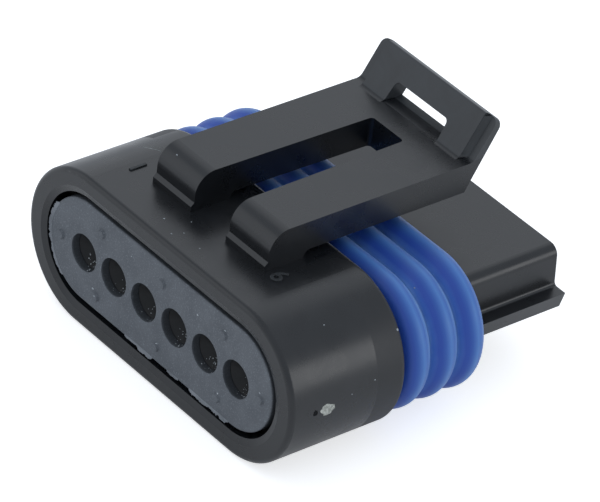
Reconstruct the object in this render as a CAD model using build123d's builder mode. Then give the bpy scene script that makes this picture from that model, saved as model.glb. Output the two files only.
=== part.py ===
"""Six-way sealed connector housing: a moulded nylon body with a latch, and its two rubber seals.

Frame: X runs along the row of wires, +Y points the way the connector is pushed to mate,
+Z is up, towards the latch. The origin lies under the middle of the part, on the plane
that the collar stands on. All sizes are in millimetres.
"""

from build123d import *
import os
from math import cos, radians, sin, tan

# Wire row
ways = 6
pitch = 4.5
row_drop = 0.22

# Terminal cavities
passage_radius = 1.7
passage_length = 4.0
chamber_width = 3.1
chamber_height = 3.6
chamber_length = 8.6
ledge_height = 0.5
front_wall = 1.4
blade_slot_width = 2.2
blade_slot_height = 1.5
blade_slot_lead = 0.4

# Pocket for the cable seal
pocket_end_room = 5.65
pocket_half_height = 5.72
pocket_depth = 9.2
pocket_mouth_width = 0.65
pocket_mouth_depth = 0.25

# Collar, the stadium-shaped wall round the pocket
collar_side_wall = 2.5
collar_top_wall = 2.15
collar_web = 3.95
collar_rim_round = 0.5
collar_front_round = 0.6

# Cable seal
cable_seal_recess = 0.25
cable_seal_margin = 0.55
cable_seal_clearance = 0.05
cable_seal_edge_round = 0.15
seal_rib_count = 3
seal_rib_width = 1.4
seal_rib_gap = 1.0
seal_rib_slope = 0.4
first_seal_rib = 1.3
wire_mouth_radius = 1.86
wire_mouth_depth = 0.9
wire_valley_radius = 1.5
wire_ring_radius = 0.9
wire_ring_land = 0.5
wire_ring_slope = 0.6
wire_ring_count = 3
nub_radius = 0.5
nub_height = 0.2
nub_slope = 30
nub_offset = 3.45
nub_end_offset = 3.5

# Nose, with an index rail down each side
nose_top_wall = 2.25
nose_bottom_wall = 1.1
nose_side_wall = 1.7
nose_side_lean = 0.3
nose_length = 21.85
nose_corner_round = 1.1
nose_front_round = 0.2
rail_top = 0.05
rail_width = 1.55
rail_thickness = 1.75
rail_tip_slope = 0.5
rail_root_round = 0.35

# Interface seal and the seat that it is stretched over
seat_side_cover = 1.05
seat_top_cover = 0.87
seat_beyond_seal = 0.45
seal_clearance = 0.05
rib_count = 3
rib_pitch = 3.15
first_rib = 0.45
rib_valley_flat = 0.3
rib_valley_height = 0.95
rib_crest_height = 2.2

# Latch
latch_half_width = 8.16
arm_thickness = 3.07
arm_top = 3.81
arm_length = 24.4
post_setback = 3.85
post_length = 4.1
post_round = 2.1
post_foot_depth = 0.35
post_foot_height = 0.55
post_throat_round = 0.7
crossbar_width = 2.57
slot_front_width = 4.5
slot_rear_width = 5.3
slot_corner_round = 0.4
tab_height = 4.14
tab_front_slope = 28.8
tab_rear_slope = 32.1
tab_thickness = 1.83
tab_border_width = 1.2
tab_border_step = 0.75
tab_crest_round = 0.2
tab_corner_round = 0.8
fold_round = 0.8
eye_half_width = 3.95
eye_taper = 0.75
eye_height = 1.92
eye_floor_slope = 7.5
eye_corner_round = 0.4

# Places worked out from the sizes above
wire_x = [(i - (ways - 1) / 2) * pitch for i in range(ways)]
pocket_half_width = wire_x[-1] + pocket_end_room
collar_half_width = pocket_half_width + collar_side_wall
collar_half_height = pocket_half_height + collar_top_wall
collar_length = pocket_depth + collar_web
overall_length = collar_length + nose_length
rear_y = -overall_length / 2
collar_z = collar_half_height
collar_top_z = collar_z + collar_half_height
row_z = collar_z - row_drop
nose_half_width = wire_x[-1] + chamber_width / 2 + nose_side_wall
nose_top = chamber_height / 2 + nose_top_wall
nose_bottom = chamber_height / 2 + nose_bottom_wall
rail_half_width = nose_half_width + rail_width
seal_length = first_rib + rib_count * rib_pitch
seat_half_width = rail_half_width + seat_side_cover
seat_half_height = nose_top - row_drop + seat_top_cover
cable_seal_length = pocket_depth - cable_seal_recess
arm_top_z = collar_top_z + arm_top
arm_bottom_z = arm_top_z - arm_thickness
crest_z = arm_top_z + tab_height
post_y = rear_y + collar_length - post_setback - post_length
tab_foot_y = post_y + arm_length


def station(distance, height=0):
    """A plane across the part, a distance ahead of the rear rim and a height above the wire row."""
    place = (0, rear_y + distance, row_z + height)
    return Plane(origin=place, x_dir=(-1, 0, 0), z_dir=(0, 1, 0))


def tab_front_y(z):
    """Where the latch's slanted front face lies at a height."""
    return tab_foot_y + (z - arm_top_z) * tan(radians(tab_front_slope))


def tab_rear_y(z, step=0):
    """Where the tab's rear face lies at a height, set in by a step."""
    return tab_foot_y - tab_thickness + step + (z - arm_top_z) * tan(radians(tab_rear_slope))


def tab_end(depth):
    """A point of the tab's end, which is square to its rear face, at a depth from that face."""
    slope = radians(tab_rear_slope)
    return tab_rear_y(crest_z) + depth * cos(slope), crest_z - depth * sin(slope)


def round_corner(sketch, x, y, radius):
    """Rounds the corner of a sketch that is nearest to a point in the sketch's own axes."""
    fillet(sketch.vertices().sort_by_distance((x, y, 0))[0], radius)


# The eye in the tab catches the nib of the mating connector. It narrows and its floor rises
# to the front.
with BuildPart() as eye:
    with BuildSketch(Plane.XY.offset(arm_top_z)):
        with BuildLine():
            Polyline(
                (-eye_half_width, tab_rear_y(arm_top_z) - fold_round),
                (eye_half_width, tab_rear_y(arm_top_z) - fold_round),
                (eye_half_width - eye_taper, tab_front_y(crest_z)),
                (eye_taper - eye_half_width, tab_front_y(crest_z)),
                close=True,
            )
        make_face()
    extrude(amount=eye_height)
    fillet(eye.edges().group_by(Axis.Z)[-1].filter_by(Axis.X, reverse=True), eye_corner_round)
    floor_start = (0, tab_rear_y(arm_top_z), arm_top_z)
    floor_tilt = radians(eye_floor_slope)
    floor = Plane(origin=floor_start, x_dir=(1, 0, 0), z_dir=(0, -sin(floor_tilt), cos(floor_tilt)))
    split(bisect_by=floor, keep=Keep.TOP)

# Latch: two posts, two arms, a crossbar and a slanted finger tab with an eye.
# Its posts start inside the collar's wall, so that they join it.
foot_z = collar_top_z - collar_top_wall / 2
end_depth = (tab_front_y(crest_z) - tab_rear_y(crest_z)) / (
    cos(radians(tab_rear_slope)) + sin(radians(tab_rear_slope)) * tan(radians(tab_front_slope))
)
border_depth = tab_border_step * cos(radians(tab_rear_slope))

with BuildPart() as latch:
    with BuildSketch(Plane.YZ) as side:
        with BuildLine():
            Polyline(
                (post_y - post_foot_depth, foot_z),
                (post_y - post_foot_depth, collar_top_z + post_foot_height),
                (post_y, collar_top_z + post_foot_height + post_foot_depth),
                (post_y, arm_top_z),
                (tab_rear_y(arm_top_z, tab_border_step), arm_top_z),
                tab_end(border_depth),
                tab_end(end_depth),
                (tab_front_y(arm_bottom_z), arm_bottom_z),
                (post_y + post_length, arm_bottom_z),
                (post_y + post_length, foot_z),
                close=True,
            )
        make_face()
        round_corner(side, post_y, arm_top_z, post_round)
        round_corner(side, post_y + post_length, arm_bottom_z, post_throat_round)
        round_corner(side, tab_rear_y(arm_top_z, tab_border_step), arm_top_z, fold_round)
        round_corner(side, *tab_end(end_depth), tab_crest_round)
    extrude(amount=latch_half_width, both=True)

    # The middle of the tab is thicker than its borders
    with BuildSketch(Plane.YZ) as pad:
        with BuildLine():
            Polyline(
                (tab_rear_y(arm_top_z) - fold_round, arm_top_z),
                (tab_rear_y(arm_top_z), arm_top_z),
                tab_end(0),
                tab_end(border_depth),
                (tab_rear_y(arm_top_z, tab_border_step), arm_bottom_z),
                (tab_rear_y(arm_top_z) - fold_round, arm_bottom_z),
                close=True,
            )
        make_face()
        round_corner(pad, tab_rear_y(arm_top_z), arm_top_z, fold_round)
        round_corner(pad, *tab_end(0), tab_crest_round)
    extrude(amount=latch_half_width - tab_border_width, both=True)

    # The slot between the arms is open to the rear and a little wider there
    slot_front_y = tab_foot_y - tab_thickness - crossbar_width
    with BuildSketch(Plane.XY.offset(foot_z)) as slot:
        with BuildLine():
            Polyline(
                (-slot_rear_width / 2, rear_y),
                (slot_rear_width / 2, rear_y),
                (slot_front_width / 2, slot_front_y),
                (-slot_front_width / 2, slot_front_y),
                close=True,
            )
        make_face()
        fillet(slot.vertices().group_by(Axis.Y)[-1], slot_corner_round)
    extrude(amount=crest_z - foot_z, mode=Mode.SUBTRACT)

    add(eye.part, mode=Mode.SUBTRACT)

    # Seen square on, the tab's end corners are round
    end_y, end_z = tab_end(0)
    tilt = radians(tab_rear_slope)
    square_on = Plane(origin=(0, end_y, end_z), x_dir=(-1, 0, 0), z_dir=(0, cos(tilt), -sin(tilt)))
    with BuildSketch(square_on) as outline:
        Rectangle(2 * latch_half_width, 2 * overall_length)
        with Locations((0, overall_length / 2)):
            Rectangle(4 * latch_half_width, overall_length, mode=Mode.SUBTRACT)
        fillet(outline.vertices().group_by(Axis.Z)[-1], tab_corner_round)
    extrude(amount=overall_length, both=True, mode=Mode.INTERSECT)

# Housing: collar, seat, nose and latch are one moulding
with BuildPart() as housing:
    with BuildSketch(station(0, row_drop)):
        SlotOverall(2 * collar_half_width, 2 * collar_half_height)
    extrude(amount=collar_length)
    fillet(housing.faces().sort_by(Axis.Y)[-1].edges(), collar_front_round)
    fillet(housing.faces().sort_by(Axis.Y)[0].edges(), collar_rim_round)

    # Seat for the interface seal
    with BuildSketch(station(collar_length, row_drop)):
        SlotOverall(2 * seat_half_width, 2 * seat_half_height)
    extrude(amount=seal_length + seat_beyond_seal)

    # Nose, a little narrower at its top, with an index rail down each side
    with BuildSketch(station(collar_length)) as nose:
        with BuildLine():
            Polyline(
                (-nose_half_width, -nose_bottom),
                (nose_half_width, -nose_bottom),
                (nose_half_width, 0),
                (nose_half_width - nose_side_lean, nose_top),
                (nose_side_lean - nose_half_width, nose_top),
                (-nose_half_width, 0),
                close=True,
            )
        make_face()
        for side in (-1, 1):
            round_corner(nose, side * (nose_half_width - nose_side_lean), nose_top, nose_corner_round)
            round_corner(nose, side * nose_half_width, -nose_bottom, nose_corner_round)
        with BuildLine():
            Polyline(
                (-rail_half_width, rail_top),
                (rail_half_width, rail_top),
                (rail_half_width - rail_tip_slope, rail_top - rail_thickness),
                (-rail_half_width + rail_tip_slope, rail_top - rail_thickness),
                close=True,
            )
        make_face()
        for side in (-1, 1):
            round_corner(nose, side * nose_half_width, rail_top, rail_root_round)
    extrude(amount=nose_length)
    fillet(housing.faces().sort_by(Axis.Y)[-1].edges(), nose_front_round)

    add(latch.part)

    # Pocket for the cable seal
    with BuildSketch(station(0, row_drop)):
        SlotOverall(2 * pocket_half_width, 2 * pocket_half_height)
    extrude(amount=pocket_depth, mode=Mode.SUBTRACT)
    rim = housing.faces().sort_by(Axis.Y)[0]
    chamfer(rim.inner_wires()[0].edges(), pocket_mouth_width, pocket_mouth_depth, reference=rim)

    # Each way has a round wire passage, a chamber with a lance ledge, and a blade slot
    ledge_start = pocket_depth + passage_length + chamber_length
    with BuildSketch(station(pocket_depth)):
        with Locations([(x, 0) for x in wire_x]):
            Circle(passage_radius)
    extrude(amount=passage_length, mode=Mode.SUBTRACT)
    with BuildSketch(station(pocket_depth + passage_length)):
        with Locations([(x, 0) for x in wire_x]):
            Rectangle(chamber_width, chamber_height)
    extrude(amount=chamber_length, mode=Mode.SUBTRACT)
    with BuildSketch(station(ledge_start)):
        with Locations([(x, -ledge_height / 2) for x in wire_x]):
            Rectangle(chamber_width, chamber_height - ledge_height)
    extrude(amount=overall_length - front_wall - ledge_start, mode=Mode.SUBTRACT)
    with BuildSketch(station(overall_length - front_wall)):
        with Locations([(x, -ledge_height / 2) for x in wire_x]):
            Rectangle(blade_slot_width, blade_slot_height)
    extrude(amount=front_wall, mode=Mode.SUBTRACT)
    for blade_slot in housing.faces().sort_by(Axis.Y)[-1].inner_wires():
        chamfer(blade_slot.edges(), blade_slot_lead)

housing.part.label = "housing"


def stadium_path(half_width, half_height):
    """A closed line round a stadium shape, started at the middle of its top."""
    straight = half_width - half_height
    Line((0, half_height), (straight, half_height))
    ThreePointArc((straight, half_height), (half_width, 0), (straight, -half_height))
    Line((straight, -half_height), (-straight, -half_height))
    ThreePointArc((-straight, -half_height), (-half_width, 0), (-straight, half_height))
    Line((-straight, half_height), (0, half_height))


def lengthwise(distance, height):
    """A plane along the part, a height above the collar's middle, with x forward and y up."""
    return Plane(origin=(0, rear_y + distance, collar_z + height), x_dir=(0, 1, 0), z_dir=(1, 0, 0))


# Interface seal: one ribbed profile run round the seat
ring_half_width = seat_half_width + seal_clearance
ring_half_height = seat_half_height + seal_clearance
with BuildPart() as interface_seal:
    with BuildLine(station(collar_length, row_drop)):
        stadium_path(ring_half_width, ring_half_height)
    with BuildSketch(lengthwise(collar_length, ring_half_height)):
        with BuildLine():
            Line((seal_length, rib_valley_height), (seal_length, 0))
            Line((seal_length, 0), (0, 0))
            Line((0, 0), (0, rib_valley_height))
            Line((0, rib_valley_height), (first_rib, rib_valley_height))
            for i in range(rib_count):
                rear = first_rib + i * rib_pitch
                left = rear + rib_valley_flat / 2
                right = rear + rib_pitch - rib_valley_flat / 2
                Line((rear, rib_valley_height), (left, rib_valley_height))
                ThreePointArc(
                    (left, rib_valley_height),
                    (rear + rib_pitch / 2, rib_crest_height),
                    (right, rib_valley_height),
                )
                Line((right, rib_valley_height), (rear + rib_pitch, rib_valley_height))
        make_face()
    sweep()

interface_seal.part.label = "interface_seal"

# The hole for one wire: a wide mouth, then sealing rings with valleys between them
ring_room = (cable_seal_length - 2 * wire_mouth_depth) / wire_ring_count
with BuildPart() as wire_hole:
    with BuildSketch(Plane.XY.offset(row_z)):
        with BuildLine():
            start_y = rear_y + cable_seal_recess
            end_y = rear_y + pocket_depth
            points = [(0, start_y), (wire_mouth_radius, start_y)]
            points += [(wire_mouth_radius, start_y + wire_mouth_depth)]
            for i in range(wire_ring_count):
                middle = start_y + wire_mouth_depth + (i + 0.5) * ring_room
                half_land = wire_ring_land / 2
                points += [
                    (wire_valley_radius, middle - half_land - wire_ring_slope),
                    (wire_ring_radius, middle - half_land),
                    (wire_ring_radius, middle + half_land),
                    (wire_valley_radius, middle + half_land + wire_ring_slope),
                ]
            points += [(wire_mouth_radius, end_y - wire_mouth_depth), (wire_mouth_radius, end_y)]
            Polyline(*points, (0, end_y), close=True)
        make_face()
    revolve(axis=Axis((0, 0, row_z), (0, 1, 0)))

# Cable seal: a thick mat with ribs round its edge and one hole for each wire
core_half_width = pocket_half_width - cable_seal_margin
core_half_height = pocket_half_height - cable_seal_margin
with BuildPart() as cable_seal:
    with BuildSketch(station(cable_seal_recess, row_drop)):
        SlotOverall(2 * core_half_width, 2 * core_half_height)
    extrude(amount=cable_seal_length)
    fillet(cable_seal.faces().sort_by(Axis.Y)[0].edges(), cable_seal_edge_round)
    with BuildLine(station(cable_seal_recess, row_drop)):
        stadium_path(core_half_width, core_half_height)
    with BuildSketch(lengthwise(cable_seal_recess, core_half_height)):
        rib_height = cable_seal_margin - cable_seal_clearance
        for i in range(seal_rib_count):
            rear = first_seal_rib + i * (seal_rib_width + seal_rib_gap)
            with BuildLine():
                Polyline(
                    (rear, -cable_seal_margin),
                    (rear, 0),
                    (rear + seal_rib_slope, rib_height),
                    (rear + seal_rib_width - seal_rib_slope, rib_height),
                    (rear + seal_rib_width, 0),
                    (rear + seal_rib_width, -cable_seal_margin),
                    close=True,
                )
            make_face()
    sweep()
    with BuildSketch(station(cable_seal_recess)):
        nub_places = [(x, z) for x in (-2 * pitch, 0, 2 * pitch) for z in (-nub_offset, nub_offset)]
        nub_places += [(side * (wire_x[-1] + nub_end_offset), 0) for side in (-1, 1)]
        with Locations(nub_places):
            Circle(nub_radius)
    extrude(amount=-nub_height, taper=nub_slope)
    with Locations([(x, 0, 0) for x in wire_x]):
        add(wire_hole.part, mode=Mode.SUBTRACT)

cable_seal.part.label = "cable_seal"

os.makedirs("parts", exist_ok=True)
for piece in (housing, interface_seal, cable_seal):
    print(piece.part.label, round(piece.part.volume, 1), piece.part.bounding_box())
    export_step(piece.part, f"parts/{piece.part.label}.step")
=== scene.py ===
"""Looks of a six-way sealed connector housing: a black moulded body and its two rubber seals."""

import math
import random

import bmesh
import bpy
from mathutils import Matrix, Vector
from mathutils.bvhtree import BVHTree


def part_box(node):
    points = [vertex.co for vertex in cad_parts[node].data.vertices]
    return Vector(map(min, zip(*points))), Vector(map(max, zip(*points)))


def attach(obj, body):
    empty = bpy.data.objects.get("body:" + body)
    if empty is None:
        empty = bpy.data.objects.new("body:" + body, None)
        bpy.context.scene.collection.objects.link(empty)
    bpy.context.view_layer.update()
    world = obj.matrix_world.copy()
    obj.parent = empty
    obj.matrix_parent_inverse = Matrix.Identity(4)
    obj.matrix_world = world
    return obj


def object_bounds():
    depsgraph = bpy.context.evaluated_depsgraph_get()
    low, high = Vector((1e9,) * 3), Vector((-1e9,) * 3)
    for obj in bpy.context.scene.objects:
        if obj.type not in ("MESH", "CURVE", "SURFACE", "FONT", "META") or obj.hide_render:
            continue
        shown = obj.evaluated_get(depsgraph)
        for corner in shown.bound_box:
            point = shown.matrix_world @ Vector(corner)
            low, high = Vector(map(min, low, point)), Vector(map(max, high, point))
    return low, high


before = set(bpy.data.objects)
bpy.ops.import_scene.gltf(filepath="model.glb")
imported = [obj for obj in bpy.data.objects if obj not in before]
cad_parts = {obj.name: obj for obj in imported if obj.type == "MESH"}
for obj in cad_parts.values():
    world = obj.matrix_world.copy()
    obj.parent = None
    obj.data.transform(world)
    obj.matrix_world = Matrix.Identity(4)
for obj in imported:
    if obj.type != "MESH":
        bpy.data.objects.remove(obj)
cad_box = [list(corner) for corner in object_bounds()]
mm = 0.001


# Housing
# The real piece is one injection moulding in black heat-stabilised nylon, with the latch, the nose
# and the terminal cavities in it. The two seals are pushed on and in afterwards.
def linear(hex_colour):
    """Turns an sRGB hex colour into Blender's linear red, green, blue and alpha."""
    channels = [int(hex_colour[i:i + 2], 16) / 255 for i in (1, 3, 5)]
    return [c / 12.92 if c <= 0.04045 else ((c + 0.055) / 1.055) ** 2.4 for c in channels] + [1.0]


def add_node(holder, kind, inputs=None, **settings):
    """Adds a node to a material or world. An input is a value, or an output socket linked to it."""
    tree = holder.node_tree
    made = tree.nodes.new(kind)
    for name, value in settings.items():
        setattr(made, name, value)
    for name, value in (inputs or {}).items():
        if isinstance(value, bpy.types.NodeSocket):
            tree.links.new(value, made.inputs[name])
        else:
            made.inputs[name].default_value = value
    return made


def empty_material(name):
    """A node material with nothing in its tree but the output."""
    material = bpy.data.materials.new(name)
    material.use_nodes = True
    material.node_tree.nodes.clear()
    add_node(material, "ShaderNodeOutputMaterial")
    return material


def finish_material(material, shader):
    """Joins a shader node to the material's output."""
    output = material.node_tree.nodes["Material Output"]
    material.node_tree.links.new(shader.outputs[0], output.inputs["Surface"])
    return material


def dress(node_name, material):
    """Gives a CAD node its material."""
    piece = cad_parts[node_name]
    piece.data.materials.clear()
    piece.data.materials.append(material)


def moulded_nylon():
    """Black nylon 66 from a spark-eroded mould. Its satin skin mirrors the room softly, with faint
    mottling where the melt flowed. The collar's front was shaped by a duller insert in the mould.
    Everything above the tab's foot is duller, and paler where the mottling is light."""
    grain_width = 0.12 * mm
    grain_height = 0.007 * mm
    flow_width = 3.5 * mm
    insert_back, insert_front = -7.7 * mm, -4.3 * mm
    insert_half_width = 14.5 * mm
    insert_dulling = 0.2
    tab_foot = 19.7 * mm
    tab_dulling = 0.12
    material = empty_material("moulded_nylon")
    place = add_node(material, "ShaderNodeTexCoord").outputs["Object"]
    grain = add_node(
        material, "ShaderNodeTexNoise",
        {"Vector": place, "Scale": 1 / grain_width, "Detail": 3.0, "Roughness": 0.6},
    )
    flow = add_node(
        material, "ShaderNodeTexNoise",
        {
            "Vector": place, "Scale": 1 / flow_width,
            "Detail": 4.0, "Roughness": 0.55, "Distortion": 0.6,
        },
    )
    tint = add_node(material, "ShaderNodeValToRGB", {"Fac": flow.outputs["Fac"]})
    for end, position, shade in ((0, 0.3, "#121417"), (1, 0.7, "#191b1e")):
        tint.color_ramp.elements[end].position = position
        tint.color_ramp.elements[end].color = linear(shade)
    gloss = add_node(
        material, "ShaderNodeMapRange",
        {
            "Value": flow.outputs["Fac"], "From Min": 0.3, "From Max": 0.7,
            "To Min": 0.24, "To Max": 0.33,
        },
    )
    parts = add_node(material, "ShaderNodeSeparateXYZ", {"Vector": place})
    behind = add_node(
        material, "ShaderNodeMath",
        {0: parts.outputs["Y"], 1: insert_back}, operation="GREATER_THAN",
    )
    before = add_node(
        material, "ShaderNodeMath",
        {0: parts.outputs["Y"], 1: insert_front}, operation="LESS_THAN",
    )
    across = add_node(material, "ShaderNodeMath", {0: parts.outputs["X"]}, operation="ABSOLUTE")
    outside = add_node(
        material, "ShaderNodeMath",
        {0: across.outputs[0], 1: insert_half_width}, operation="GREATER_THAN",
    )
    ring = add_node(
        material, "ShaderNodeMath",
        {0: behind.outputs[0], 1: before.outputs[0]}, operation="MULTIPLY",
    )
    insert = add_node(
        material, "ShaderNodeMath",
        {0: ring.outputs[0], 1: outside.outputs[0]}, operation="MULTIPLY",
    )
    duller = add_node(
        material, "ShaderNodeMath",
        {0: insert.outputs[0], 1: insert_dulling, 2: gloss.outputs["Result"]},
        operation="MULTIPLY_ADD",
    )
    tab = add_node(
        material, "ShaderNodeMath",
        {0: parts.outputs["Z"], 1: tab_foot}, operation="GREATER_THAN",
    )
    dullest = add_node(
        material, "ShaderNodeMath",
        {0: tab.outputs[0], 1: tab_dulling, 2: duller.outputs[0]}, operation="MULTIPLY_ADD",
    )
    paler_above_tab_foot = add_node(
        material, "ShaderNodeMath",
        {0: tab.outputs[0], 1: flow.outputs["Fac"]}, operation="MULTIPLY",
    )
    colour = add_node(
        material, "ShaderNodeMix",
        {"Factor": paler_above_tab_foot.outputs[0], "A": tint.outputs["Color"]}, data_type="RGBA",
    )
    colour.inputs["B"].default_value = linear("#3d4144")
    skin = add_node(
        material, "ShaderNodeBump",
        {"Height": grain.outputs["Fac"], "Strength": 0.25, "Distance": grain_height},
    )
    shader = add_node(
        material, "ShaderNodeBsdfPrincipled",
        {
            "Base Color": colour.outputs["Result"],
            "Roughness": dullest.outputs[0],
            "Normal": skin.outputs["Normal"],
            "IOR": 1.53,
        },
    )
    return finish_material(material, shader)


housing_nylon = moulded_nylon()
dress("housing", housing_nylon)


# Cavity numerals
# The mould has the numbers of the first and last cavity cut into it, so they stand a little proud
# of the collar's top, in the same nylon. They are painted a paler tone all over: painted highlight,
# standing for the light that their raised edges catch.
def surface(node_name):
    """A search tree of a CAD node's surface, to find where something rests on it."""
    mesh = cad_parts[node_name].data
    return BVHTree.FromPolygons([v.co for v in mesh.vertices], [p.vertices for p in mesh.polygons])


def rest_on(tree, start, direction):
    """Where a straight line first meets a surface, and the surface's outward direction there."""
    direction = Vector(direction).normalized()
    place, normal, _, _ = tree.ray_cast(Vector(start) * mm, direction)
    if normal.dot(direction) > 0:
        normal.negate()
    return place, normal


def own_piece(name, mesh, material):
    """Makes an object of a mesh, with its material, on the part's one body."""
    piece = bpy.data.objects.new(name, mesh)
    bpy.context.collection.objects.link(piece)
    mesh.materials.clear()
    mesh.materials.append(material)
    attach(piece, "root")
    return piece


def two_tone_nylon(name, dark, light, ior):
    """Nylon 66 in two tones mottled by fine tears, rough and bumpy. For rubbed or torn skin it is
    full of fine white tears, so it looks paler and duller than the moulded skin. It also serves
    for painted light and shade: a paler tone for painted highlight, and a near-black tone standing
    for the shade down in a pit, where it hardly reflects, which a low IOR stands for."""
    tear_width = 0.25 * mm
    tear_height = 0.05 * mm
    material = empty_material(name)
    place = add_node(material, "ShaderNodeTexCoord").outputs["Object"]
    tears = add_node(
        material, "ShaderNodeTexNoise",
        {"Vector": place, "Scale": 1 / tear_width, "Detail": 4.0, "Roughness": 0.7},
    )
    tint = add_node(material, "ShaderNodeValToRGB", {"Fac": tears.outputs["Fac"]})
    for end, position, colour in ((0, 0.35, dark), (1, 0.65, light)):
        tint.color_ramp.elements[end].position = position
        tint.color_ramp.elements[end].color = linear(colour)
    skin = add_node(
        material, "ShaderNodeBump",
        {"Height": tears.outputs["Fac"], "Strength": 0.6, "Distance": tear_height},
    )
    shader = add_node(
        material, "ShaderNodeBsdfPrincipled",
        {
            "Base Color": tint.outputs["Color"],
            "Roughness": 0.6,
            "Normal": skin.outputs["Normal"],
            "IOR": ior,
        },
    )
    return finish_material(material, shader)


housing_skin = surface("housing")
down = (0, 0, -1)
# Search lines from outside start this many mm out, which is clear of the part.
start_distance = 30
numeral_height = 1.9 * mm
# A digit's height as a share of the font's size.
digit_share = 0.73
numeral_proud = 0.14 * mm
numeral_sunk = 0.06 * mm
numeral_edge = 0.03 * mm
numeral_places = {"1": (-10.7, -12.5), "6": (9.4, -12.0)}
# The numerals' paler tone is painted highlight.
numeral_painted_highlight = two_tone_nylon("two_tone_nylon", "#17191b", "#303437", 1.53)
for number, (x, y) in numeral_places.items():
    foot, _ = rest_on(housing_skin, (x, y, start_distance), down)
    letters = bpy.data.curves.new(f"numeral_{number}", "FONT")
    letters.body = number
    letters.align_x = "CENTER"
    letters.align_y = "CENTER"
    letters.size = numeral_height / digit_share
    letters.extrude = (numeral_proud + numeral_sunk) / 2 - numeral_edge
    letters.bevel_depth = numeral_edge
    letters.bevel_resolution = 1
    shape = bpy.data.objects.new("numeral_shape", letters)
    bpy.context.collection.objects.link(shape)
    bpy.context.view_layer.update()
    graph = bpy.context.evaluated_depsgraph_get()
    mesh = bpy.data.meshes.new_from_object(shape.evaluated_get(graph))
    bpy.data.objects.remove(shape)
    middle = foot + Vector((0, 0, (numeral_proud - numeral_sunk) / 2))
    mesh.transform(Matrix.Translation(middle))
    own_piece(f"numeral_{number}", mesh, numeral_painted_highlight)


# Tab creases
# A soft hollow joins the tab's thicker middle to the thin border beside it, one on each side,
# moulded with the rest in the same nylon.
def mesh_of(name, shape):
    """Turns a working mesh into mesh data, and frees it."""
    mesh = bpy.data.meshes.new(name)
    shape.to_mesh(mesh)
    shape.free()
    return mesh


forward = (0, 1, 0)
crease_x = 6.94
crease_reach = 0.42
crease_bottom, crease_top = 19.62, 23.3
crease_rows = 40
crease_shares = (0, 0.15, 0.3, 0.45, 0.6, 0.75, 0.88, 0.97)
crease_hollow = 2.4
crease_lift = 0.004 * mm
for side, name in ((1, "right_crease"), (-1, "left_crease")):
    crease = bmesh.new()
    rows = []
    for k in range(crease_rows + 1):
        z = crease_bottom + (crease_top - crease_bottom) * k / crease_rows
        inner_start = (side * crease_x, -start_distance, z)
        outer_start = (side * (crease_x + crease_reach), -start_distance, z)
        high, _ = rest_on(housing_skin, inner_start, forward)
        low, _ = rest_on(housing_skin, outer_start, forward)
        rows.append([
            crease.verts.new((
                low.x + (high.x - low.x) * share,
                low.y + (high.y - low.y) * share ** crease_hollow - crease_lift,
                low.z,
            ))
            for share in crease_shares
        ])
    for near, far in zip(rows, rows[1:]):
        for i in range(len(near) - 1):
            crease.faces.new((near[i], near[i + 1], far[i + 1], far[i]))
    bmesh.ops.recalc_face_normals(crease, faces=crease.faces)
    crease_mesh = mesh_of(name, crease)
    crease_mesh.shade_smooth()
    own_piece(name, crease_mesh, housing_nylon)


# Gate mark
# The melt entered through a small gate in the middle of the right end. Where the sprue was torn
# off, the nylon is left pale and rough, beside a small pit; the tear is made whiter still as a
# painted glint. The solid isn't cut here, so the pit is a thin patch that lies on the wall, painted
# near black: painted shade standing for the pit's depth.
sideways = (-1, 0, 0)


def rough_patch(tree, middle, half_width, half_height, proud, seed):
    """A ragged, slightly raised patch on the right end wall: an outline of points round its middle,
    each seated on the wall, with a hump between them."""
    chance = random.Random(seed)
    rings, spokes = 5, 22
    rim_sunk = 0.01
    weld_distance = 0.002 * mm
    ragged = [chance.uniform(0.8, 1.12) for _ in range(spokes)]
    patch = bmesh.new()
    rows = []
    for r in range(rings + 1):
        row = []
        for s in range(spokes):
            reach = ragged[s] * r / rings
            angle = 2 * math.pi * s / spokes
            y = middle[0] + half_width * reach * math.cos(angle)
            z = middle[1] + half_height * reach * math.sin(angle)
            place, normal = rest_on(tree, (start_distance, y, z), sideways)
            lift = proud * mm * chance.uniform(0.5, 1.0) if r < rings else -rim_sunk * mm
            place = place + normal * lift
            place.x = min(place.x, cad_box[1][0])
            row.append(patch.verts.new(place))
        rows.append(row)
    for inner, outer in zip(rows, rows[1:]):
        for s in range(spokes):
            t = (s + 1) % spokes
            patch.faces.new((inner[s], outer[s], outer[t], inner[t]))
    bmesh.ops.remove_doubles(patch, verts=patch.verts, dist=weld_distance)
    bmesh.ops.recalc_face_normals(patch, faces=patch.faces)
    return mesh_of("patch", patch)


# The tear's pale tone is the nylon's own, made whiter still as a painted glint.
white_tear_and_glint = two_tone_nylon("torn_nylon_and_glint", "#75776f", "#c6c8bf", 1.53)
gate_mark = rough_patch(housing_skin, (-13.35, 8.12), 1.02, 0.62, 0.03, seed=4)
own_piece("gate_mark", gate_mark, white_tear_and_glint)
gate_pit = rough_patch(housing_skin, (-14.75, 8.2), 0.3, 0.36, 0.03, seed=9)
# Painted shade: the pit is painted near black.
pit_painted_shade = two_tone_nylon("pit_painted_shade", "#060708", "#0e1012", 1.2)
own_piece("gate_pit", gate_pit, pit_painted_shade)


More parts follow.
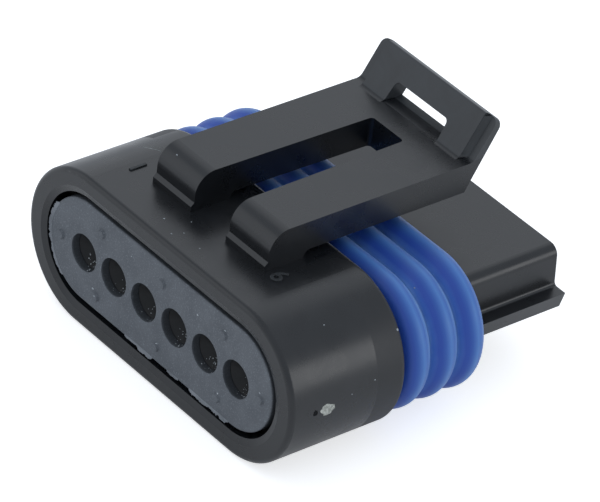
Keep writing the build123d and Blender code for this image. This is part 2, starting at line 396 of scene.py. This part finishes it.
# Interface seal
# The real one is a moulded ring of blue silicone rubber with three round ribs. It is stretched over
# the root of the nose, and its ribs are squeezed by the mating shroud.
def blue_silicone():
    """Pigmented silicone rubber, moulded and lightly oiled. Light enters it a little. Paler bands
    are painted in the valleys between the ribs and along their crests: painted light, standing for
    light that shines through the ribs and glances off them. Behind the first rib the tone stays at
    the darker blue of a rear flank, painted shade next to the collar, and past the last rib it
    stays at a middle blue."""
    skin_width = 0.2 * mm
    skin_height = 0.02 * mm
    cloud_width = 2.2 * mm
    light_depth = 1.2 * mm
    first_rib = -3.9 * mm
    rib_pitch = 3.15 * mm
    # The painted bands stop at the two ends: behind the first rib the tone is held at a rear
    # flank's darker blue, painted shade next to the collar.
    rear_limit, front_limit = 0.2, 2.7
    painted_band_wander = 0.06
    material = empty_material("blue_silicone")
    place = add_node(material, "ShaderNodeTexCoord").outputs["Object"]
    skin_noise = add_node(
        material, "ShaderNodeTexNoise",
        {"Vector": place, "Scale": 1 / skin_width, "Detail": 3.0, "Roughness": 0.65},
    )
    cloud = add_node(
        material, "ShaderNodeTexNoise",
        {"Vector": place, "Scale": 1 / cloud_width, "Detail": 4.0},
    )
    parts = add_node(material, "ShaderNodeSeparateXYZ", {"Vector": place})
    count = add_node(
        material, "ShaderNodeMath",
        {0: parts.outputs["Y"], 1: 1 / rib_pitch, 2: -first_rib / rib_pitch},
        operation="MULTIPLY_ADD",
    )
    between_ends = add_node(
        material, "ShaderNodeClamp",
        {"Value": count.outputs[0], "Min": rear_limit, "Max": front_limit},
    )
    across = add_node(
        material, "ShaderNodeMath", {0: between_ends.outputs[0]}, operation="FRACT",
    )
    wander = add_node(
        material, "ShaderNodeMath",
        {0: cloud.outputs["Fac"], 1: painted_band_wander, 2: across.outputs[0]}, operation="MULTIPLY_ADD",
    )
    tint = add_node(material, "ShaderNodeValToRGB", {"Fac": wander.outputs[0]})
    # Painted light and shade across one rib: pale in the valley, darker on the rear flank, paler
    # again along the crest.
    painted_light_bands = [
        (0.03, "#9cc2e6"), (0.11, "#5078bf"), (0.2, "#2e54ac"), (0.28, "#2b52a9"),
        (0.38, "#345fac"), (0.56, "#4f7fc0"), (0.7, "#3f6bb3"), (0.97, "#8ab2e0"),
    ]
    for k, (position, colour) in enumerate(painted_light_bands):
        ends = tint.color_ramp.elements
        stop = ends[k] if k < 2 else ends.new(position)
        stop.position = position
        stop.color = linear(colour)
    gloss = add_node(
        material, "ShaderNodeMapRange",
        {
            "Value": cloud.outputs["Fac"], "From Min": 0.3, "From Max": 0.7,
            "To Min": 0.36, "To Max": 0.46,
        },
    )
    skin = add_node(
        material, "ShaderNodeBump",
        {"Height": skin_noise.outputs["Fac"], "Strength": 0.25, "Distance": skin_height},
    )
    shader = add_node(
        material, "ShaderNodeBsdfPrincipled",
        {
            "Base Color": tint.outputs["Color"],
            "Roughness": gloss.outputs["Result"],
            "Normal": skin.outputs["Normal"],
            "IOR": 1.42,
            "Subsurface Weight": 0.5,
            "Subsurface Radius": (0.4, 0.65, 1.0),
            "Subsurface Scale": light_depth,
            "Sheen Weight": 0.12,
            "Sheen Roughness": 0.4,
            "Sheen Tint": linear("#dfe8f5"),
        },
    )
    return finish_material(material, shader)


dress("interface_seal", blue_silicone())


# Cable seal
# The real one is a thick moulded mat of dark blue-grey silicone with one hole for each wire. It is
# pressed into the collar's pocket, where its edge ribs grip the wall.
def grey_silicone(name, dark, light, hole_shade):
    """Filled silicone rubber: dull blue-grey with a dusty skin and fine pale specks. Inside the
    wire holes the colour is darkened with depth, painted shade, most of all on the sealing rings
    deep down, and the skin there is a little glossier."""
    speck_width = 0.16 * mm
    speck_height = 0.04 * mm
    cloud_width = 2.4 * mm
    shade_start_depth, shade_full_depth = -17.25 * mm, -16.35 * mm
    material = empty_material(name)
    place = add_node(material, "ShaderNodeTexCoord").outputs["Object"]
    specks = add_node(
        material, "ShaderNodeTexNoise",
        {"Vector": place, "Scale": 1 / speck_width, "Detail": 3.0, "Roughness": 0.7},
    )
    cloud = add_node(
        material, "ShaderNodeTexNoise",
        {"Vector": place, "Scale": 1 / cloud_width, "Detail": 4.0},
    )
    tint = add_node(material, "ShaderNodeValToRGB", {"Fac": cloud.outputs["Fac"]})
    for end, position, colour in ((0, 0.3, dark), (1, 0.7, light)):
        tint.color_ramp.elements[end].position = position
        tint.color_ramp.elements[end].color = linear(colour)
    dust = add_node(
        material, "ShaderNodeMapRange",
        {
            "Value": specks.outputs["Fac"], "From Min": 0.54, "From Max": 0.7,
            "To Min": 0.0, "To Max": 0.55,
        },
    )
    dusty = add_node(
        material, "ShaderNodeMix",
        {"Factor": dust.outputs["Result"], "A": tint.outputs["Color"]}, data_type="RGBA",
    )
    dusty.inputs["B"].default_value = linear("#8d939b")
    parts = add_node(material, "ShaderNodeSeparateXYZ", {"Vector": place})
    depth = add_node(
        material, "ShaderNodeMapRange",
        {
            "Value": parts.outputs["Y"], "From Min": shade_start_depth, "From Max": shade_full_depth,
            "To Min": 0.0, "To Max": 1.0,
        },
    )
    # Painted shade: how far the colour is darkened, by depth into the wire holes.
    depth_shade = add_node(material, "ShaderNodeValToRGB", {"Fac": depth.outputs["Result"]})
    shade_stops = [(0.05, 0.0), (0.25, 0.5), (0.9, 0.55), (0.99, 1.0)]
    for k, (position, share) in enumerate(shade_stops):
        ends = depth_shade.color_ramp.elements
        stop = ends[k] if k < 2 else ends.new(position)
        stop.position = position
        stop.color = (share, share, share, 1)
    shaded = add_node(
        material, "ShaderNodeMix",
        {"Factor": depth_shade.outputs["Color"], "A": dusty.outputs["Result"]}, data_type="RGBA",
    )
    shaded.inputs["B"].default_value = linear(hole_shade)
    gloss = add_node(
        material, "ShaderNodeMapRange",
        {
            "Value": depth_shade.outputs["Color"], "From Min": 0.0, "From Max": 1.0,
            "To Min": 0.58, "To Max": 0.5,
        },
    )
    skin = add_node(
        material, "ShaderNodeBump",
        {"Height": specks.outputs["Fac"], "Strength": 0.35, "Distance": speck_height},
    )
    shader = add_node(
        material, "ShaderNodeBsdfPrincipled",
        {
            "Base Color": shaded.outputs["Result"],
            "Roughness": gloss.outputs["Result"],
            "Normal": skin.outputs["Normal"],
            "IOR": 1.42,
        },
    )
    return finish_material(material, shader)


# The last colour is the painted shade deep in the wire holes.
dress("cable_seal", grey_silicone("grey_silicone", "#55595e", "#62666b", "#0e0f10"))


# Torn flash
# Where the mat was torn out of its moulded sheet, thin ragged flash is left along stretches of its
# rear edge. It is the same silicone in a paler tone.
mat_low, mat_high = [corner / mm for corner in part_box("cable_seal")]
# How far the edge ribs and the nubs of the solid stand out, in mm.
rib_height = 0.5
nub_height = 0.2
mat_straight = mat_high.x - (mat_high.z - mat_low.z) / 2
mat_radius = (mat_high.z - mat_low.z) / 2 - rib_height
mat_middle = (mat_high.z + mat_low.z) / 2
mat_face = mat_low.y + nub_height


def mat_edge(along, outward):
    """A point of the mat's rear edge, in mm. Along runs from the bottom's middle to the left end,
    or to the right end where it is below zero."""
    side = -1 if along >= 0 else 1
    reach = mat_radius + outward
    run = abs(along)
    if run <= mat_straight:
        return Vector((side * run, mat_face, mat_middle - reach))
    angle = (run - mat_straight) / mat_radius
    return Vector((
        side * (mat_straight + reach * math.sin(angle)),
        mat_face,
        mat_middle - reach * math.cos(angle),
    ))


# Where each stretch starts and ends along the edge, and its greatest width, in mm.
flash_stretches = [
    (14.2, 17.4, 0.2), (17.4, 22.4, 0.28), (0.2, 2.6, 0.3), (2.6, 4.4, 0.08),
    (-3.6, -2.0, 0.12), (-10.9, -5.2, 0.3),
]
flash_step = 0.09
flash_thickness = 0.03
flash_root = -0.2
flash_lift = 0.02
flash_jitter = 0.04
flash_carried, flash_fresh = 0.55, 0.45
flash_raggedness = 1.6
flash_gain = 1.9
flash_fade_steps = 4
torn = random.Random(11)
flash = bmesh.new()
for start, end, most in flash_stretches:
    steps = int((end - start) / flash_step)
    lip = 0.0
    rows = []
    for k in range(steps + 1):
        along = start + (end - start) * k / steps
        fade = min(1, k / flash_fade_steps, (steps - k) / flash_fade_steps)
        tear = torn.uniform(0.05, 1.0) ** flash_raggedness
        lip = flash_carried * lip + flash_fresh * tear * most * flash_gain
        outward = min(lip, most) * fade
        root = mat_edge(along, flash_root)
        tip = mat_edge(along + torn.uniform(-flash_jitter, flash_jitter), outward)
        rows.append([
            flash.verts.new((point + Vector((0, lift, 0))) * mm)
            for point, lift in (
                (root, flash_lift),
                (root, -flash_lift),
                (tip, -flash_thickness * torn.uniform(0.5, 1.6)),
                (tip, flash_lift),
            )
        ])
    for near, far in zip(rows, rows[1:]):
        for i in range(len(near)):
            j = (i + 1) % len(near)
            flash.faces.new((near[i], near[j], far[j], far[i]))
    flash.faces.new(rows[0])
    flash.faces.new(reversed(rows[-1]))
bmesh.ops.recalc_face_normals(flash, faces=flash.faces)
flash_mesh = mesh_of("torn_flash", flash)
torn_silicone = grey_silicone("torn_silicone", "#62666b", "#888c91", "#4a4d52")
own_piece("torn_flash", flash_mesh, torn_silicone)


# Oil beads
# Silicone oil sweats out of the seal, and small beads of it stand low in the wire holes.
def oil_with_painted_glint():
    """Silicone oil in beads too small to see through, smooth and glossy, so that each bead holds
    one small glint. Their pale grey colour is painted highlight, standing for the glints of clear
    oil."""
    swirl_width = 0.4 * mm
    material = empty_material("oil_with_painted_glint")
    place = add_node(material, "ShaderNodeTexCoord").outputs["Object"]
    swirl = add_node(
        material, "ShaderNodeTexNoise",
        {"Vector": place, "Scale": 1 / swirl_width, "Detail": 2.0},
    )
    # Painted highlight: the beads' pale grey stands for glints.
    tint = add_node(material, "ShaderNodeValToRGB", {"Fac": swirl.outputs["Fac"]})
    for end, position, colour in ((0, 0.35, "#7d8286"), (1, 0.65, "#cdd2d4")):
        tint.color_ramp.elements[end].position = position
        tint.color_ramp.elements[end].color = linear(colour)
    shader = add_node(
        material, "ShaderNodeBsdfPrincipled",
        {"Base Color": tint.outputs["Color"], "Roughness": 0.12, "IOR": 1.4},
    )
    return finish_material(material, shader)


def add_ball(shape, place, normal, half_sizes, fineness):
    """Adds a squashed ball to a mesh, half sunk into what it lies on, and returns its points."""
    turn = normal.to_track_quat("Z", "Y").to_matrix().to_4x4()
    squash = Matrix.Diagonal((*half_sizes, 1))
    made = bmesh.ops.create_icosphere(
        shape, subdivisions=fineness, radius=1,
        matrix=Matrix.Translation(place) @ turn @ squash,
    )
    return made["verts"]


def add_bead(beads, place, normal, radius):
    """Adds a small smooth dome to a mesh."""
    bead_flatness = 0.7
    add_ball(beads, place, normal, (radius, radius, radius * bead_flatness), fineness=2)


seal_skin = surface("cable_seal")
ways = 6
pitch = 4.5
row_height = 7.65
ring_beads, ring_low, ring_spread = 30, -66, 26
ring_reach = (0.98, 1.8)
ring_bead_radius = (0.025, 0.065)
mouth_beads, mouth_low, mouth_spread = 8, -68, 20
mouth_range = (-17.0, -16.4)
mouth_bead_radius = (0.03, 0.07)
beads = bmesh.new()
sweat = random.Random(3)
for way in range(ways):
    hole_x = (way - (ways - 1) / 2) * pitch
    for _ in range(ring_beads):
        angle = math.radians(sweat.gauss(ring_low, ring_spread))
        reach = sweat.uniform(*ring_reach)
        x = hole_x + reach * math.cos(angle)
        z = row_height + reach * math.sin(angle)
        place, normal = rest_on(seal_skin, (x, -start_distance, z), forward)
        add_bead(beads, place, normal, sweat.uniform(*ring_bead_radius) * mm)
    for _ in range(mouth_beads):
        angle = math.radians(sweat.gauss(mouth_low, mouth_spread))
        y = sweat.uniform(*mouth_range)
        outward = (math.cos(angle), 0, math.sin(angle))
        place, normal = rest_on(seal_skin, (hole_x, y, row_height), outward)
        add_bead(beads, place, normal, sweat.uniform(*mouth_bead_radius) * mm)
bead_mesh = mesh_of("oil_beads", beads)
bead_mesh.shade_smooth()
own_piece("oil_beads", bead_mesh, oil_with_painted_glint())


# Crumbs and scuffs
# A few crumbs of torn flash cling to the oily skin; those beside the mat's nubs are also painted
# highlights, standing for the glints that the nubs catch. The collar has two pale hairline scuffs
# from other parts in the same bag.
def add_crumb(crumbs, tree, start, direction, radius, chance):
    """Adds a small uneven flake to a mesh, lying on the surface that the line meets."""
    flatness = 0.3
    dent, dent_share = 0.2, 0.6
    place, normal = rest_on(tree, start, direction)
    half_sizes = (radius * mm, radius * mm * chance.uniform(0.5, 0.9), radius * mm * flatness)
    for vert in add_ball(crumbs, place, normal, half_sizes, fineness=1):
        vert.co += Vector([
            chance.uniform(-dent, dent) * radius * mm * dent_share for _ in range(3)
        ])
        vert.co.x = min(vert.co.x, cad_box[1][0])


blue_skin = surface("interface_seal")
crumb_chance = random.Random(21)
crumbs = bmesh.new()
for tree, start, direction, radius in (
    (housing_skin, (-6.63, -11.44, start_distance), down, 0.12),
    (housing_skin, (-0.7, -16.2, start_distance), down, 0.12),
    (housing_skin, (-0.24, -15.15, start_distance), down, 0.09),
    (housing_skin, (-2.95, -15.3, start_distance), down, 0.1),
    (housing_skin, (-1.3, -13.5, start_distance), down, 0.09),
    (housing_skin, (2.4, -15.4, start_distance), down, 0.08),
    (housing_skin, (start_distance, -4.75, 12.62), sideways, 0.16),
    (housing_skin, (start_distance, -10.66, 8.75), sideways, 0.08),
    (housing_skin, (start_distance, -8.05, 9.3), sideways, 0.1),
    (housing_skin, (15.83, -11.81, start_distance), down, 0.09),
    (blue_skin, (14.67, -0.4, start_distance), down, 0.09),
    # The next six flakes sit beside the mat's nubs: crumbs, and painted highlights for the nubs'
    # glints.
    (seal_skin, (-9.5, -start_distance, 4.75), forward, 0.16),
    (seal_skin, (-9.0, -start_distance, 4.3), forward, 0.1),
    (seal_skin, (0.15, -start_distance, 4.65), forward, 0.11),
    (seal_skin, (9.12, -start_distance, 11.62), forward, 0.13),
    (seal_skin, (9.1, -start_distance, 4.75), forward, 0.12),
    (seal_skin, (14.6, -start_distance, 8.3), forward, 0.13),
    (seal_skin, (5.24, -start_distance, 10.93), forward, 0.12),
    (seal_skin, (-4.6, -start_distance, 11.3), forward, 0.08),
):
    add_crumb(crumbs, tree, start, direction, radius, crumb_chance)
crumb_mesh = mesh_of("crumbs_and_nub_highlights", crumbs)
crumb_and_highlight_silicone = grey_silicone("crumb_and_highlight_silicone", "#9aa0a4", "#c3c8cb", "#9aa0a4")
own_piece("crumbs_and_nub_highlights", crumb_mesh, crumb_and_highlight_silicone)


def hairline(points, width, proud):
    """A raised burr along points of the housing's top, each seated on its surface."""
    line = bmesh.new()
    rows = []
    steps = 12
    edge_sunk = 0.01
    for (x0, y0), (x1, y1) in zip(points, points[1:]):
        for k in range(steps + 1):
            s = k / steps
            x, y = x0 + (x1 - x0) * s, y0 + (y1 - y0) * s
            side = Vector((y0 - y1, x1 - x0, 0)).normalized() * width * 0.5
            row = []
            for offset, lift in ((-1, -edge_sunk), (0, proud), (1, -edge_sunk)):
                start = Vector((x, y, start_distance)) + side * offset
                place, normal = rest_on(housing_skin, start, down)
                row.append(line.verts.new(place + normal * lift * mm))
            rows.append(row)
    for near, far in zip(rows, rows[1:]):
        for i in range(len(near) - 1):
            line.faces.new((near[i], near[i + 1], far[i + 1], far[i]))
    return mesh_of("hairline", line)


pale_scratch = two_tone_nylon("scratched_nylon", "#5d6261", "#a3aaa8", 1.53)
long_scuff = hairline([(-13.4, -9.78), (-12.9, -9.55), (-11.75, -8.95)], width=0.09, proud=0.02)
own_piece("long_scuff", long_scuff, pale_scratch)
short_scuff = hairline([(-13.1, -9.2), (-12.2, -8.5)], width=0.06, proud=0.015)
own_piece("short_scuff", short_scuff, pale_scratch)


# Stage
# A plain white floor, soft daylight from a large window, a white card on the left, a small lamp on
# the right, and the photograph's view.
def white_floor():
    """Matt white card. Seen directly or in a reflection it is white, and it keeps a pale shadow."""
    seen_glow, mirrored_glow = 0.62, 0.16
    material = empty_material("white_floor")
    card = add_node(material, "ShaderNodeBsdfDiffuse", {"Color": linear("#f2f2f2")})
    ray = add_node(material, "ShaderNodeLightPath")
    seen = add_node(
        material, "ShaderNodeMath",
        {0: ray.outputs["Is Camera Ray"], 1: seen_glow}, operation="MULTIPLY",
    )
    mirrored = add_node(
        material, "ShaderNodeMath",
        {0: ray.outputs["Is Glossy Ray"], 1: ray.outputs["Is Transmission Ray"]}, operation="ADD",
    )
    strength = add_node(
        material, "ShaderNodeMath",
        {0: mirrored.outputs[0], 1: mirrored_glow, 2: seen.outputs[0]}, operation="MULTIPLY_ADD",
    )
    glow = add_node(
        material, "ShaderNodeEmission", {"Color": (1, 1, 1, 1), "Strength": strength.outputs[0]},
    )
    both = add_node(material, "ShaderNodeAddShader", {0: card.outputs[0], 1: glow.outputs[0]})
    return finish_material(material, both)


floor_gap = 0.03 * mm
floor_size = 4
bpy.ops.mesh.primitive_plane_add(size=floor_size, location=(0, 0, cad_box[0][2] - floor_gap))
floor = bpy.context.object
floor.name = "floor"
floor.data.materials.append(white_floor())


part_middle = Vector((0, 0, 0.01))


def soft_light(name, place, size, power):
    """A square lamp that points at the part."""
    lamp = bpy.data.lights.new(name, "AREA")
    lamp.size = size
    lamp.energy = power
    holder = bpy.data.objects.new(name, lamp)
    holder.location = place
    aim = part_middle - Vector(place)
    holder.rotation_euler = aim.to_track_quat("-Z", "Y").to_euler()
    bpy.context.collection.objects.link(holder)


soft_light("window", (-0.4, 0.35, 0.4), size=0.6, power=0.36)
soft_light("left_card", (-0.4, -0.4, 0.24), size=0.45, power=0.26)
soft_light("right_lamp", (0.476, 0.339, 0.15), size=0.26, power=0.4)

world = bpy.data.worlds.new("studio")
bpy.context.scene.world = world
world.use_nodes = True
daylight = world.node_tree.nodes["Background"]
daylight.inputs["Color"].default_value = (0.9, 0.975, 1.08, 1)
daylight.inputs["Strength"].default_value = 0.72

# The camera stands where a fit to the photograph's wire holes, latch and nose puts it.
camera_place = Vector((0.29173, -0.26964, 0.27852))
view_right = Vector((0.61918, 0.77821, 0.10495))
view_up = Vector((-0.49618, 0.28415, 0.8204))
view_back = view_right.cross(view_up)
photo_width = 600
focal_pixels = 5264
camera_data = bpy.data.cameras.new("camera")
camera_data.sensor_width = 36
camera_data.lens = focal_pixels / photo_width * camera_data.sensor_width
camera = bpy.data.objects.new("camera", camera_data)
turn = Matrix((view_right, view_up, view_back)).transposed()
camera.matrix_world = Matrix.Translation(camera_place) @ turn.to_4x4()
bpy.context.collection.objects.link(camera)
bpy.context.scene.camera = camera
bpy.context.scene.view_settings.view_transform = "Standard"
